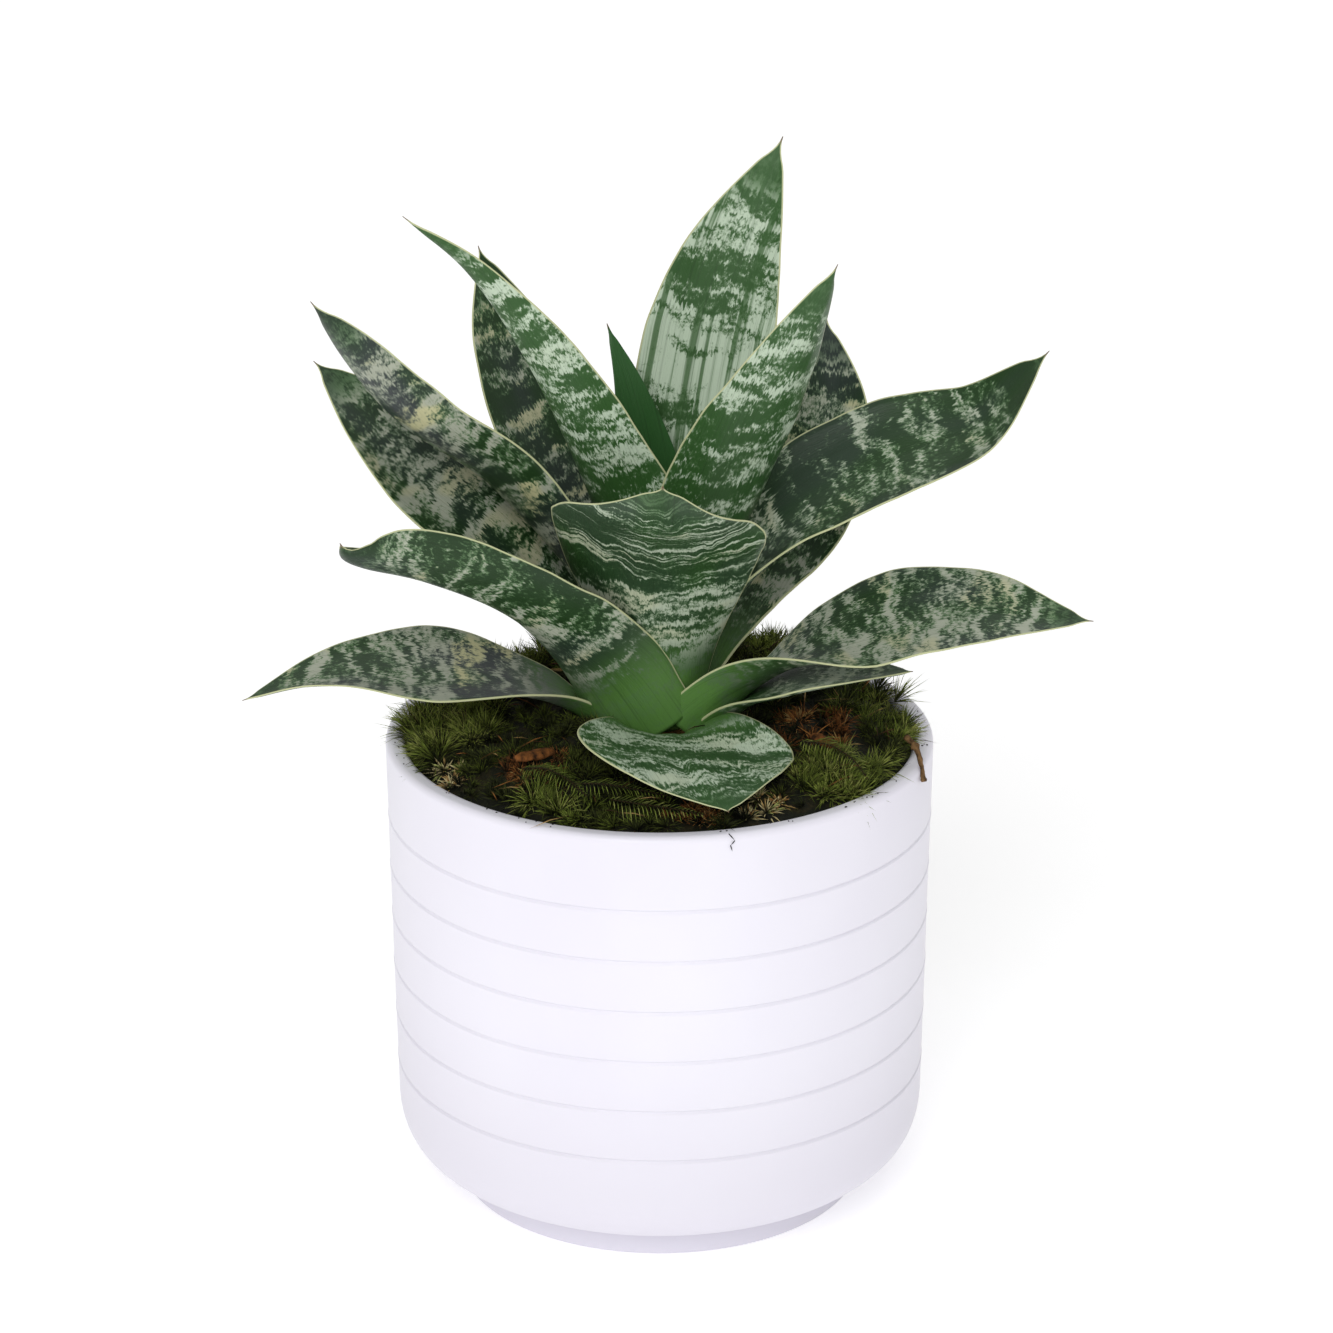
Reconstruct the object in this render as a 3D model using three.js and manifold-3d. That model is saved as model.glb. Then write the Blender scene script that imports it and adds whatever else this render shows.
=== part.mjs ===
// A bird's-nest snake plant in a white grooved pot: a rosette of broad channelled leaves on a short
// root crown, in potting soil under cushions of moss. Millimetres, +Z up, -Y towards the front.
// The origin is the centre of the pot's flat foot.
import * as THREE from "three";
import { mergeVertices } from "three/addons/utils/BufferGeometryUtils.js";
import Module from "manifold-3d";

const wasm = await Module();
wasm.setup();

const { cos, sin, PI, max, min, abs } = Math;
const GAP = 0.3; // clearance between neighbouring pieces

// Pot
const POT_HEIGHT = 131.3;
const RIM_RADIUS = 75;
const POT_TAPER = 2; // how much smaller the wall's radius is at the foot than at the rim
const WALL = 5.5;
const RIM_ROUND = 1.4; // radius of the rim's two edges
const FOOT_RADIUS = 56.7;
const FOOT_HEIGHT = 8.7;
const SHOULDER_HEIGHT = 27; // where the wall starts to round in towards the foot
const SHOULDER_FULLNESS = 2.35; // 2 rounds the shoulder as an ellipse, more makes it squarer
const SHOULDER_STEPS = 7;
const FLOOR_THICKNESS = 9;
const GROOVE_COUNT = 6;
const TOP_GROOVE_HEIGHT = 110.2;
const GROOVE_PITCH = 14.65;
const GROOVE_DEPTH = 0.7;
const GROOVE_WIDTH = 1.1; // half the width of a groove
const INNER_ROUND = 6; // how far the inside rounds in above the pot's floor
const INNER_RISE = 8;
const FLOOR_INSET = 4; // how much narrower the flat inside is than the foot
const POT_SIDES = 40;

// Soil, root crown and moss
const SOIL_EDGE_HEIGHT = 121;
const SOIL_TOP_RADIUS = 21;
const CROWN_TOP_HEIGHT = 131;
const CROWN_RADIUS = 15;
const CROWN_DEPTH = 26;
const CROWN_EDGE = 2;
const CROWN_SIDES = 24;
// The crown's knobbly side: shares of its radius, and heights above its base.
const CROWN_KNOBS = [[0.5, 1], [0.85, 7], [0.78, 11], [1, 17]];
const MOSS_INNER_RADIUS = 19;
const MOSS_OUTER_RADIUS = 68.8;

// Moss cushions: the bearings each one spans (degrees) and how far it stands above the rim.
const MOSS = {
  moss_cushion_right: { from: -19, until: 25, rise: 9 },
  moss_cushion_back_right: { from: 26, until: 70, rise: 14 },
  moss_cushion_back: { from: 71, until: 115, rise: 12 },
  moss_cushion_back_left: { from: 116, until: 160, rise: 11 },
  moss_cushion_left: { from: 161, until: 205, rise: 9 },
  moss_cushion_front_left: { from: 206, until: 250, rise: 9 },
  moss_cushion_front: { from: 251, until: 295, rise: 6 },
  moss_cushion_front_right: { from: 296, until: 340, rise: 9 },
};
const TWIG_RADIUS = 0.6;
const TWIG = [[66.5, -19, 137], [68.5, -22, 136], [70, -25, 133], [71, -27.5, 127.5]];
const FROND_RADIUS = 0.7;
const FROND = [[-13, -60, 136], [-5, -63, 136], [4, -65.5, 135.6], [12, -67, 134.6]];
const CHIP_TAPER = 1.4;
const CHIP_WARP = 0.5;
const BARK = {
  bark_chip_left: { size: [12, 5, 1.6], at: [-33, -40, 140], turn: 30 },
  bark_chip_right: { size: [10, 4, 1.6], at: [44, -30, 140], turn: -50 },
};

// Leaves
const LEAF_STEPS = 12;
const LEAF_STRIPS = 4;
const BASE_THICKNESS = 2.6;
const TIP_THICKNESS = 1.0;
const MARGIN_THINNING = 0.5; // share of the thickness that is gone at the margins

const radians = THREE.MathUtils.degToRad;
const blend = (a, b, t) => a + (b - a) * t;
const ease = (t) => t * t * (3 - 2 * t);
const clamp01 = (t) => min(1, max(0, t));

// A value eased from the leaf's base through its middle to its tip.
function along(share, [base, middle, tip]) {
  if (share < 0.5) return blend(base, middle, ease(share * 2));
  return blend(middle, tip, ease(share * 2 - 1));
}

// Each leaf: its midrib from the crown to the tip, its greatest width and how far along that is, the
// bearing it grows along (degrees from +X towards +Y), its roll about the midrib and the half angle
// of its channel (both at base, middle and tip), the width of its base as a share of the greatest, and
// how blunt its tip is.
const LEAVES = {
  front_drooping_leaf: {
    midrib: [[2, -17, 134], [4, -26, 139.5], [7, -42, 141.5], [12, -57, 140.5], [18, -71, 137]],
    width: 59, widest: 0.45, bearing: -75, roll: [0, 10, 8], channel: [48, 8, 8], base: 0.45, blunt: 2.1,
  },
  left_drooping_leaf: {
    midrib: [
      [-16, -3, 134], [-28, -6, 143], [-47, -10, 150.5], [-72, -14, 154], [-93, -17, 153.5],
      [-112, -20, 148],
    ],
    width: 39, widest: 0.5, bearing: 190, roll: [-10, 12, 0], channel: [45, 18, 20], base: 0.55, blunt: 1.4,
  },
  lower_right_leaf: {
    midrib: [[14, -8, 134], [24, -12, 144], [38, -15, 151], [53, -17, 154], [68, -19, 156]],
    width: 32, widest: 0.5, bearing: -14, roll: [15, 0, 0], channel: [45, 20, 20], base: 0.55, blunt: 1.7,
  },
  right_arching_leaf: {
    midrib: [[9, -13, 135], [24, -13, 149], [48, -12, 161], [80, -13, 170], [116, -18, 170]],
    width: 41.5, widest: 0.55, bearing: -6, roll: [47, -16, -22], channel: [55, 20, 20], base: 0.6,
    blunt: 1.7,
  },
  front_left_leaf: {
    midrib: [
      [-5, -16, 135], [-18, -20, 156], [-38, -26, 175], [-59, -32, 186.5], [-76, -37, 192.5],
      [-81.5, -39.5, 196], [-83, -40.5, 200],
    ],
    width: 43, widest: 0.42, bearing: 202, roll: [-50, -22, -28], channel: [60, 52, 62], base: 0.86,
    blunt: 5.5,
  },
  front_leaf: {
    midrib: [[0, -11, 136], [0, -18, 160], [-1, -31, 186], [-1, -50, 203], [0, -67, 214], [1, -80, 229]],
    width: 59, widest: 0.61, bearing: -90, roll: [0, 7, 5], channel: [60, 32, 30], base: 0.45, blunt: 1.65,
  },
  back_leaf: {
    midrib: [[1, 13, 134], [2, 26, 158], [4, 43, 180], [6, 60, 192], [8, 77, 196]],
    width: 42, widest: 0.5, bearing: 86, roll: [0, 0, 0], channel: [50, 20, 20], base: 0.5, blunt: 1.9,
  },
  lower_back_left_leaf: {
    midrib: [[-9, 10, 134], [-18, 24, 152], [-28, 42, 166], [-37, 58, 172], [-45, 74, 171]],
    width: 38, widest: 0.5, bearing: 120, roll: [0, 0, 0], channel: [50, 20, 20], base: 0.5, blunt: 1.9,
  },
  broad_right_leaf: {
    midrib: [[9, 1, 136], [18, 2, 168], [36, 3, 193], [62, 5, 207], [87, 6, 217], [104, 6, 238]],
    width: 40, widest: 0.58, bearing: 2, roll: [0, -25, -20], channel: [65, 30, 30], base: 0.42, blunt: 2.6,
  },
  lower_left_leaf: {
    midrib: [[-10, 3, 136], [-23, 6, 162], [-44, 10, 187], [-69, 17, 206], [-94, 26, 229]],
    width: 47, widest: 0.5, bearing: 165, roll: [0, 22, 20], channel: [65, 25, 25], base: 0.45, blunt: 2.2,
  },
  upper_left_leaf: {
    midrib: [[-9, 0, 137], [-20, 0, 172], [-43, 0, 202], [-69, 0, 222], [-92, -2, 254]],
    width: 42, widest: 0.5, bearing: 180, roll: [0, -25, -45], channel: [70, 45, 40], base: 0.45, blunt: 2.6,
  },
  back_right_leaf: {
    midrib: [[6, 9, 137], [18, 20, 160], [33, 32, 184], [44, 39, 210], [46, 45, 236]],
    width: 46, widest: 0.55, bearing: 62, roll: [0, 0, -10], channel: [60, 20, 25], base: 0.45, blunt: 1.9,
  },
  back_left_leaf: {
    midrib: [[-5, 6, 137], [-12, 13, 172], [-28.5, 21, 207], [-42, 27, 235], [-49, 31, 260]],
    width: 42, widest: 0.55, bearing: 130, roll: [0, 0, 0], channel: [70, 25, 30], base: 0.4, blunt: 2,
  },
  left_front_upright_leaf: {
    midrib: [
      [-4, -5, 138], [-6.5, -10, 176], [-17, -17, 211], [-33, -26, 247], [-48, -33, 271], [-65, -38, 287],
    ],
    width: 42, widest: 0.4, bearing: 210, roll: [0, -10, -10], channel: [75, 60, 50], base: 0.65, blunt: 1.4,
  },
  right_front_upright_leaf: {
    midrib: [[4, -5, 138], [10, -10, 176], [21, -16, 210], [34, -22, 242], [46, -26, 271]],
    width: 43, widest: 0.5, bearing: -50, roll: [0, 0, 0], channel: [75, 35, 30], base: 0.4, blunt: 2,
  },
  tall_upright_leaf: {
    midrib: [[2, 4, 138], [6, 9, 176], [10, 15, 215], [18, 21, 253], [33, 28, 291]],
    width: 37, widest: 0.58, bearing: 80, roll: [0, 0, 0], channel: [75, 20, 25], base: 0.35, blunt: 2,
  },
  young_centre_leaf: {
    midrib: [[0, 0, 138], [-1, 1, 172], [-3, 3, 203], [-8, 5, 227], [-14, 8, 245]],
    width: 22, widest: 0.4, bearing: 110, roll: [0, 0, 0], channel: [60, 25, 20], base: 0.5, blunt: 1.7,
  },
};

// Half the leaf's width at a share of its length: it widens from a narrow base, then draws to a point.
function halfWidth(leaf, share) {
  const half = leaf.width / 2;
  if (share < leaf.widest) return half * blend(leaf.base, 1, ease(share / leaf.widest));
  const rest = (share - leaf.widest) / (1 - leaf.widest);
  return max(half * (1 - rest ** leaf.blunt) ** 1.1, TIP_THICKNESS / 2);
}

const curveThrough = (points) =>
  new THREE.CatmullRomCurve3(points.map((p) => new THREE.Vector3(...p)), false, "catmullrom");

// A flat box bent along the midrib: its width becomes the leaf's arc from margin to margin.
function leafGeometry(leaf, extra = 0) {
  const box = new THREE.BoxGeometry(2, 1, 1, LEAF_STRIPS, 1, LEAF_STEPS);
  const midrib = curveThrough(leaf.midrib);
  const bearing = radians(leaf.bearing);
  const sideways = new THREE.Vector3(-sin(bearing), cos(bearing), 0);
  const position = box.getAttribute("position");
  const point = new THREE.Vector3();
  for (let i = 0; i < position.count; i++) {
    const u = position.getX(i);
    const side = position.getY(i) * 2;
    const share = position.getZ(i) + 0.5;
    const forward = midrib.getTangentAt(share);
    const flat = sideways.clone().addScaledVector(forward, -sideways.dot(forward)).normalize();
    const upper = new THREE.Vector3().crossVectors(forward, flat);
    const roll = radians(along(share, leaf.roll));
    const across = flat.clone().multiplyScalar(cos(roll)).addScaledVector(upper, -sin(roll));
    upper.multiplyScalar(cos(roll)).addScaledVector(flat, sin(roll));
    const channel = radians(along(share, leaf.channel));
    const half = halfWidth(leaf, share) + extra;
    const thick = blend(BASE_THICKNESS, TIP_THICKNESS, share) * (1 - MARGIN_THINNING * u * u) + 2 * extra;
    const turn = channel * u;
    point.copy(midrib.getPointAt(share));
    point.addScaledVector(across, (half * sin(turn)) / channel - (side * thick * sin(turn)) / 2);
    point.addScaledVector(upper, (half * (1 - cos(turn))) / channel + (side * thick * cos(turn)) / 2);
    position.setXYZ(i, point.x, point.y, point.z);
  }
  return box;
}

function solidOf(geometry) {
  const bare = geometry.clone();
  bare.deleteAttribute("normal");
  bare.deleteAttribute("uv");
  const merged = mergeVertices(bare, 1e-4);
  const vertProperties = merged.getAttribute("position").array;
  const triVerts = new Uint32Array(merged.index.array);
  return new wasm.Manifold(new wasm.Mesh({ numProp: 3, vertProperties, triVerts }));
}

// Back from a solid to a geometry with flat-shaded faces.
function geometryOf(solid) {
  const mesh = solid.getMesh();
  const geometry = new THREE.BufferGeometry();
  geometry.setAttribute("position", new THREE.BufferAttribute(new Float32Array(mesh.vertProperties), 3));
  geometry.setIndex(new THREE.BufferAttribute(new Uint32Array(mesh.triVerts), 1));
  geometry.computeVertexNormals();
  return geometry;
}

// The biggest piece of a solid once its neighbours, grown by the clearance, are cut away from it.
function clearOf(solid, grownNeighbours) {
  let left = solid;
  for (const neighbour of grownNeighbours) {
    if (left.intersect(neighbour).isEmpty()) continue;
    left = left.subtract(neighbour);
  }
  if (left === solid) return solid;
  const pieces = left.decompose();
  return pieces.reduce((best, piece) => (piece.volume() > best.volume() ? piece : best));
}

// Radius of the pot's inner wall at a height.
const wallRadius = (height) => RIM_RADIUS - POT_TAPER * (1 - height / POT_HEIGHT);
const innerRadius = (height) => wallRadius(height) - WALL;

// The pot's profile from the middle of its foot, up the grooved outside, over the rim and down inside.
function potGeometry() {
  const profile = [new THREE.Vector2(0, 0)];
  const to = (radius, height) => profile.push(new THREE.Vector2(radius, height));
  const round = (cx, cy, rx, ry, from, until, steps) => {
    for (let i = 0; i <= steps; i++) {
      const angle = radians(blend(from, until, i / steps));
      to(cx + rx * cos(angle), cy + ry * sin(angle));
    }
  };
  round(FOOT_RADIUS - 1, 1, 1, 1, -90, 0, 2);
  to(FOOT_RADIUS, FOOT_HEIGHT);
  const shoulder = wallRadius(SHOULDER_HEIGHT) - FOOT_RADIUS;
  for (let i = 0; i <= SHOULDER_STEPS; i++) {
    const angle = radians(blend(84, 0, i / SHOULDER_STEPS));
    const inward = cos(angle) ** (2 / SHOULDER_FULLNESS);
    const down = sin(angle) ** (2 / SHOULDER_FULLNESS);
    to(FOOT_RADIUS + shoulder * inward, SHOULDER_HEIGHT - (SHOULDER_HEIGHT - FOOT_HEIGHT) * down);
  }
  for (let groove = GROOVE_COUNT - 1; groove >= 0; groove--) {
    const height = TOP_GROOVE_HEIGHT - groove * GROOVE_PITCH;
    to(wallRadius(height), height - GROOVE_WIDTH);
    to(wallRadius(height) - GROOVE_DEPTH, height);
    to(wallRadius(height), height + GROOVE_WIDTH);
  }
  round(RIM_RADIUS - RIM_ROUND, POT_HEIGHT - RIM_ROUND, RIM_ROUND, RIM_ROUND, 0, 90, 3);
  round(RIM_RADIUS - WALL + RIM_ROUND, POT_HEIGHT - RIM_ROUND, RIM_ROUND, RIM_ROUND, 90, 180, 3);
  to(innerRadius(SHOULDER_HEIGHT), SHOULDER_HEIGHT);
  to(innerRadius(SHOULDER_HEIGHT) - INNER_ROUND, FLOOR_THICKNESS + INNER_RISE);
  to(FOOT_RADIUS - FLOOR_INSET, FLOOR_THICKNESS);
  to(0, FLOOR_THICKNESS);
  return new THREE.LatheGeometry(profile, POT_SIDES).rotateX(PI / 2);
}

// Potting soil: it fills the pot, rises to the middle and has a pocket that the root crown sits in.
function soilGeometry() {
  const profile = [
    [0, FLOOR_THICKNESS + GAP],
    [FOOT_RADIUS - FLOOR_INSET - 1, FLOOR_THICKNESS + GAP],
    [innerRadius(SHOULDER_HEIGHT) - INNER_ROUND - 2 * GAP, FLOOR_THICKNESS + INNER_RISE + GAP],
    [innerRadius(SHOULDER_HEIGHT) - GAP, SHOULDER_HEIGHT],
    [innerRadius(SOIL_EDGE_HEIGHT) - GAP, SOIL_EDGE_HEIGHT],
    [SOIL_TOP_RADIUS, soilHeight(SOIL_TOP_RADIUS)],
    [CROWN_RADIUS + GAP, soilHeight(CROWN_RADIUS)],
    [CROWN_RADIUS + GAP, CROWN_TOP_HEIGHT - CROWN_DEPTH - GAP],
    [0, CROWN_TOP_HEIGHT - CROWN_DEPTH - GAP],
  ].map(([radius, height]) => new THREE.Vector2(radius, height));
  return new THREE.LatheGeometry(profile, POT_SIDES).rotateX(PI / 2);
}

// Height of the soil under the moss at a radius.
function soilHeight(radius) {
  const share = clamp01((radius - SOIL_TOP_RADIUS) / (innerRadius(SOIL_EDGE_HEIGHT) - SOIL_TOP_RADIUS));
  return blend(CROWN_TOP_HEIGHT - 1, SOIL_EDGE_HEIGHT, share);
}

// The short knobbly rhizome that every leaf grows from.
function crownGeometry() {
  const base = CROWN_TOP_HEIGHT - CROWN_DEPTH;
  const profile = [
    [0, base],
    ...CROWN_KNOBS.map(([share, rise]) => [CROWN_RADIUS * share, base + rise]),
    [CROWN_RADIUS, CROWN_TOP_HEIGHT - CROWN_EDGE],
    [CROWN_RADIUS - CROWN_EDGE, CROWN_TOP_HEIGHT],
    [0, CROWN_TOP_HEIGHT],
  ].map(([radius, height]) => new THREE.Vector2(radius, height));
  return new THREE.LatheGeometry(profile, CROWN_SIDES).rotateX(PI / 2);
}

// Height of the moss at a radius and a bearing, for a cushion that stands this far above the rim.
function mossHeight(rise, radius, bearing) {
  const share = (radius - MOSS_INNER_RADIUS) / (MOSS_OUTER_RADIUS - MOSS_INNER_RADIUS);
  const bumps = 0.7 * sin(5 * bearing + radius / 6) + 0.5 * sin(11 * bearing - radius / 4);
  return POT_HEIGHT + rise * (1 - share ** 3) + bumps * (1 - share);
}

// One cushion of moss: a box bent round the ring between the leaf bases and the pot's wall.
function mossGeometry({ from, until, rise }) {
  const box = new THREE.BoxGeometry(1, 1, 1, 6, 5, 1);
  const position = box.getAttribute("position");
  for (let i = 0; i < position.count; i++) {
    const bearing = radians(blend(until, from, position.getX(i) + 0.5));
    const share = position.getY(i) + 0.5;
    const side = 1 - 2 * abs(position.getX(i));
    const radius = blend(MOSS_INNER_RADIUS, MOSS_OUTER_RADIUS, share);
    const floor = soilHeight(radius) + 1.5 * GAP;
    const edge = side > 0 && share > 0 && share < 1 ? 0 : 2;
    const height = position.getZ(i) < 0 ? floor : mossHeight(rise, radius, bearing) - edge;
    position.setXYZ(i, radius * cos(bearing), radius * sin(bearing), height);
  }
  return box;
}

// A rod along a curve through the points given, for the twig and the moss frond.
function rodGeometry(points, radius) {
  const section = new THREE.Shape().absarc(0, 0, radius, 0, 2 * PI);
  const settings = { steps: 12, curveSegments: 4, bevelEnabled: false, extrudePath: curveThrough(points) };
  return new THREE.ExtrudeGeometry(section, settings);
}

// A flake of bark: a warped board that narrows to its ends.
function chipGeometry({ size, at, turn }) {
  const chip = new THREE.BoxGeometry(...size, 4, 2, 1);
  const position = chip.getAttribute("position");
  for (let i = 0; i < position.count; i++) {
    const x = position.getX(i) / size[0];
    position.setY(i, position.getY(i) * (1 - CHIP_TAPER * x * x));
    position.setZ(i, position.getZ(i) + size[2] * CHIP_WARP * cos(4 * x));
  }
  return chip.rotateZ(radians(turn)).translate(...at);
}

const material = (color, roughness) => new THREE.MeshStandardMaterial({ color, roughness, metalness: 0 });
const potMaterial = material(0xf2f1fa, 0.35);
const soilMaterial = material(0x2b211a, 0.95);
const crownMaterial = material(0xb08a4e, 0.8);
const mossMaterial = material(0x3a3c16, 0.95);
const woodMaterial = material(0x5b4326, 0.85);
const leafMaterial = material(0x4f6a4b, 0.45);
const youngLeafMaterial = material(0x2f5a35, 0.45);

const group = new THREE.Group();
function place(name, geometry, itsMaterial) {
  const mesh = new THREE.Mesh(geometry, itsMaterial.clone());
  mesh.name = name;
  group.add(mesh);
}

place("pot", potGeometry(), potMaterial);
place("potting_soil", soilGeometry(), soilMaterial);
place("root_crown", crownGeometry(), crownMaterial);

// Leaves are listed from the outermost in. Each one gives way to those further in.
const names = Object.keys(LEAVES);
const grown = names.map((name) => solidOf(leafGeometry(LEAVES[name], GAP)));
names.forEach((name, order) => {
  const solid = clearOf(solidOf(leafGeometry(LEAVES[name])), grown.slice(order + 1));
  place(name, geometryOf(solid), name === "young_centre_leaf" ? youngLeafMaterial : leafMaterial);
});
for (const [name, cushion] of Object.entries(MOSS)) {
  place(name, geometryOf(clearOf(solidOf(mossGeometry(cushion)), grown)), mossMaterial);
}
place("twig_on_rim", rodGeometry(TWIG, TWIG_RADIUS), woodMaterial);
place("feathery_moss_frond", rodGeometry(FROND, FROND_RADIUS), mossMaterial);
for (const [name, chip] of Object.entries(BARK)) place(name, chipGeometry(chip), woodMaterial);

export default group;
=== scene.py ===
"""A bird's-nest snake plant in a white grooved pot, dressed with moss: fine leaves, moss, pot and light."""

import math
import random

import bpy
import numpy as np
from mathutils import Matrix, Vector, noise
from mathutils.bvhtree import BVHTree


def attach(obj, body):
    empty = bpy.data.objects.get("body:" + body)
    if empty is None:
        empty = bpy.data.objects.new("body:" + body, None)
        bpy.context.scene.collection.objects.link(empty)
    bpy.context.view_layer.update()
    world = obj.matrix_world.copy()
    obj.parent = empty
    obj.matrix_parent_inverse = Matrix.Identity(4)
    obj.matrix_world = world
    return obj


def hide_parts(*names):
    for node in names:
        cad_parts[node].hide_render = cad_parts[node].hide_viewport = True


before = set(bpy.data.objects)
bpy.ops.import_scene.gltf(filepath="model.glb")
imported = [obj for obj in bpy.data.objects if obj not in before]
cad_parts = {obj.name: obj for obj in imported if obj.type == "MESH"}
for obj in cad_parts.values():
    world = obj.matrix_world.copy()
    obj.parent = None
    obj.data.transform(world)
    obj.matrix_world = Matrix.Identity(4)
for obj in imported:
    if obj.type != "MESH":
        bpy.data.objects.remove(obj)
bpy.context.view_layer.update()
scene = bpy.context.scene
MM = 0.001

# ---------------------------------------------------------------- sizes, in millimetres
POT_HEIGHT = 131.3
RIM_RADIUS = 75
POT_TAPER = 2
WALL = 5.5
RIM_ROUND = 1.9
FOOT_RADIUS = 56.7
FOOT_HEIGHT = 8.7
SHOULDER_HEIGHT = 27
SHOULDER_FULLNESS = 2.35
SHOULDER_START = 87  # degrees; a little short of upright, where the shoulder leaves the foot
SHOULDER_STEPS = 26
FLOOR_THICKNESS = 9
FLOOR_INSET = 4
FOOT_ROUND = 1.2
UNDERSIDE_RISE = 0.4
UNDERSIDE_INSET = 6  # in from the foot's edge to the end of the raised underside
STANDING_INSET = 4.5  # in from the foot's edge to the ring it stands on
POT_WOBBLE = 0.12
WOBBLE_SIZE = 24
GROOVE_COUNT = 6
TOP_GROOVE_HEIGHT = 110.2
GROOVE_PITCH = 14.65
GROOVE_DEPTH = 0.4
GROOVE_WIDTH = 0.55
POT_SIDES = 240

MOSS_INNER_RADIUS = 19
MOSS_OUTER_RADIUS = 68.8
MAT_ACROSS = 40
MAT_OUT = 40
MAT_DEPTH = 5
MOSS_SINK = 2.5  # how far the moss lies below the rim at the wall, before its lumps
TUFTS = 110
NEEDLES = 60
STRAW_SHARE = 0.16  # the share of tufts that carry a dry straw
STRAW_WIDTH = 0.42
STEM_WIDTH = 0.4
LEAFLET_WIDTH = 0.28
HAIR_WIDTH = 0.35
CUSHION_SEED = 40
FROND_SEED = 77

# Moss cushions: the bearings each one spans (degrees), how far it stands above the rim, how many
# bright tufts hang over the rim, and its feathers: their points, their reach and their tint.
MOSS = {
    "moss_cushion_right": {"from": -19, "until": 25, "rise": 9, "rim": 12},
    "moss_cushion_back_right": {"from": 26, "until": 70, "rise": 14, "rim": 4},
    "moss_cushion_back": {"from": 71, "until": 115, "rise": 12, "rim": 2},
    "moss_cushion_back_left": {"from": 116, "until": 160, "rise": 11, "rim": 3},
    "moss_cushion_left": {"from": 161, "until": 205, "rise": 9, "rim": 14},
    "moss_cushion_front_left": {
        "from": 206,
        "until": 250,
        "rise": 9,
        "rim": 0,
        "feathers": [([[-36, -46, 139], [-30, -51, 141], [-24, -56, 140], [-19, -60, 137]], 9, 6)],
    },
    "moss_cushion_front": {
        "from": 251,
        "until": 295,
        "rise": 6,
        "rim": 0,
        "feathers": [([[-22, -54, 138], [-14, -57, 139], [-6, -58, 138], [2, -60, 137]], 9, 6)],
    },
    "moss_cushion_front_right": {
        "from": 296,
        "until": 340,
        "rise": 9,
        "rim": 2,
        "feathers": [([[38, -32, 141], [45, -37, 142], [51, -42, 140], [55, -46, 136]], 10, 7)],
    },
}
# Patches of another kind of moss: the place of their middle, how far they reach, and the kind.
MOSS_PATCHES = [
    (-57, -33, 6, "straw"),
    (-33, -38, 8, "rust"),
    (-60, -6, 15, "bright"),
    (-27, -56, 10, "bright"),
    (8, -60, 7, "rust"),
    (28, -57, 6, "straw"),
    (50, -41, 15, "bright"),
    (42, -16, 12, "rust"),
    (62, 6, 15, "bright"),
    (30, 40, 12, "bright"),
    (-6, 56, 12, "rust"),
    (-45, 40, 15, "bright"),
    (-48, 12, 8, "rust"),
]
MOSS_KINDS = {
    "green": {"tints": (1, 2, 3, 3, 4, 5), "length": (4, 8), "width": (0.12, 0.24), "spread": 0.55},
    "bright": {"tints": (3, 5, 6, 7, 8), "length": (6, 11), "width": (0.14, 0.28), "spread": 0.5},
    "rust": {"tints": (1, 10, 11, 12, 12), "length": (4, 7), "width": (0.2, 0.36), "spread": 0.8},
    "straw": {"tints": (14, 14, 13), "length": (4, 6), "width": (0.3, 0.5), "spread": 0.9},
}
RIM_CRUMBS = 9
FEATHER_STEPS = 24
HAIR = [[18, -72.6, 131.7], [19.6, -72.7, 129.8], [18.5, -73, 128.6], [19, -72.9, 126.8]]
TWIG = [[66.5, -19, 137], [68.5, -22, 136], [70, -25, 133], [71, -27.5, 127.5]]
FROND = [[-13, -60, 136], [-5, -63, 136], [4, -65.5, 135.6], [12, -67, 134.6]]
BARK = {
    "bark_chip_left": {"size": [12, 5, 1.6], "at": [-33, -40, 140], "turn": 30},
    "bark_chip_right": {"size": [10, 4, 1.6], "at": [44, -30, 140], "turn": -50},
}

TWIG_STEPS = 60
TWIG_SIDES = 14
TWIG_RADIUS = (0.85, 0.5)
TWIG_BARK = 0.25
TWIG_KNOTS = ((0.3, 0.05, 0.5), (0.97, 0.04, 0.4))  # share along, spread and height
CHIP_STEPS = 26
CHIP_TAPER = 0.6
CHIP_EDGE = 0.15
CHIP_WARP = 0.8
CHIP_GRAIN = 0.3

LEAF_STEPS = 110
LEAF_STRIPS = 22
LEAF_SEED = 10
LEAF_SEED_STEP = 3.7
BASE_THICKNESS = 2.6
TIP_THICKNESS = 1.0
TIP_SHARE = 0.05  # the last share of a leaf, which draws in to a fine point
TIP_FINING = 0.8
TIP_LEAST_WIDTH = 0.1
TIP_LEAST_THICKNESS = 0.2
TIP_DRAW = 1.1
MARGIN_THINNING = 0.72
MARGIN_ROUND = 0.35
MARGIN_RAGGED = 0.012
SWAY = 0.9
FINE_PLEAT = 0.3
BROAD_PLEAT = 0.8
FULL_HALF_WIDTH = 12  # a blade narrower than this to either side sways and pleats less

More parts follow.
